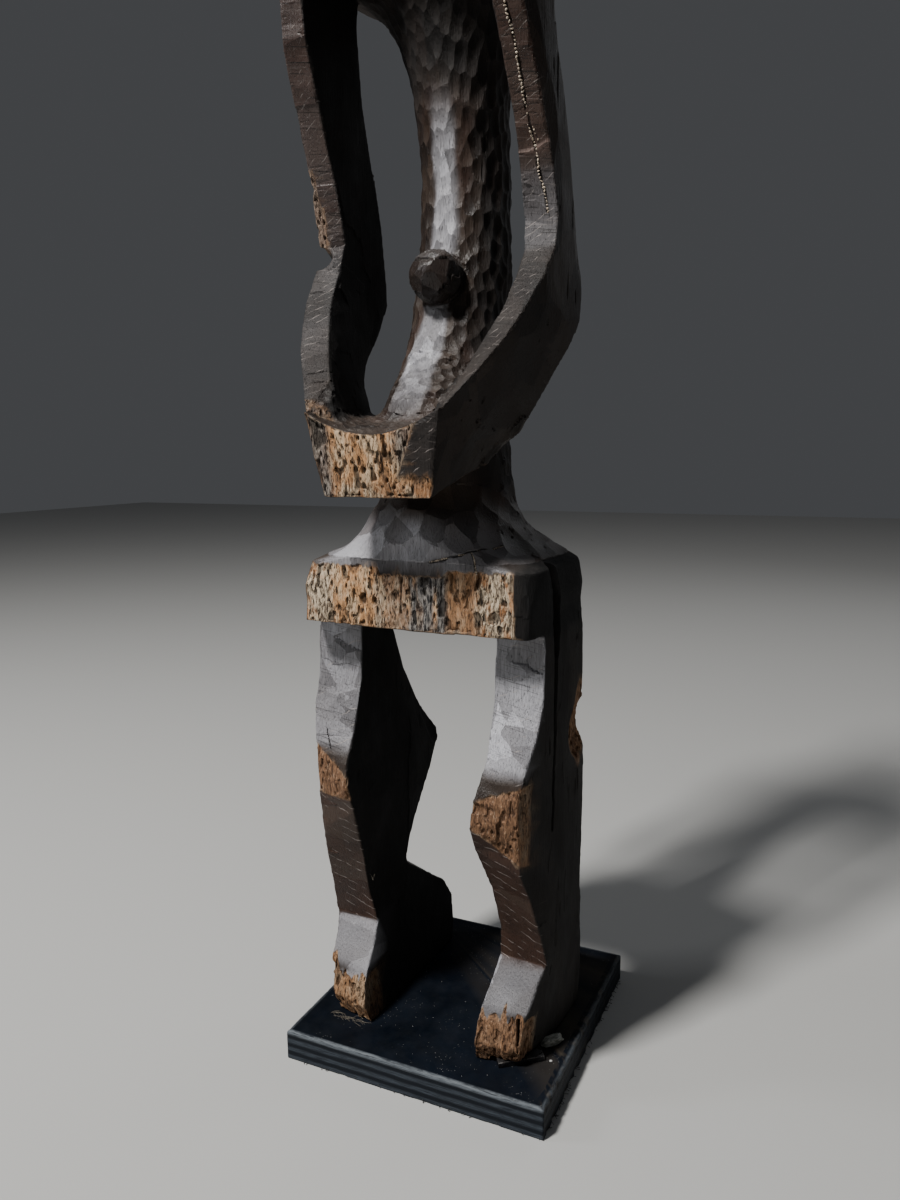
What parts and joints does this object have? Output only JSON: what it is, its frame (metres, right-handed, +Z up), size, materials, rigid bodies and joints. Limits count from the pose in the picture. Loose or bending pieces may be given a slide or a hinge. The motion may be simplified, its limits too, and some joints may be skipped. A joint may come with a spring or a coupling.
{
  "type": "mumuye statue",
  "caption": "Tall standing figure carved from one dark log, with zigzag legs and arms joined in front, on a square black board.",
  "frame": {"origin": "middle of the board's underside", "axes": "+Z up; the figure faces -Y and its own left side is at +X"},
  "size_m": [0.212, 0.2385, 1.0243],
  "materials": {
    "carved_wood": "adzed hardwood with a dark semi-gloss patina and pale eroded end grain",
    "black_paint": "plywood board painted satin black, dusty and chipped at its edges",
    "black_shim": "thin black packing piece"
  },
  "bodies": {
    "root": {"figure": "carved_wood", "base_board": "black_paint", "foot_shim": "black_shim"}
  },
  "joints": []
}
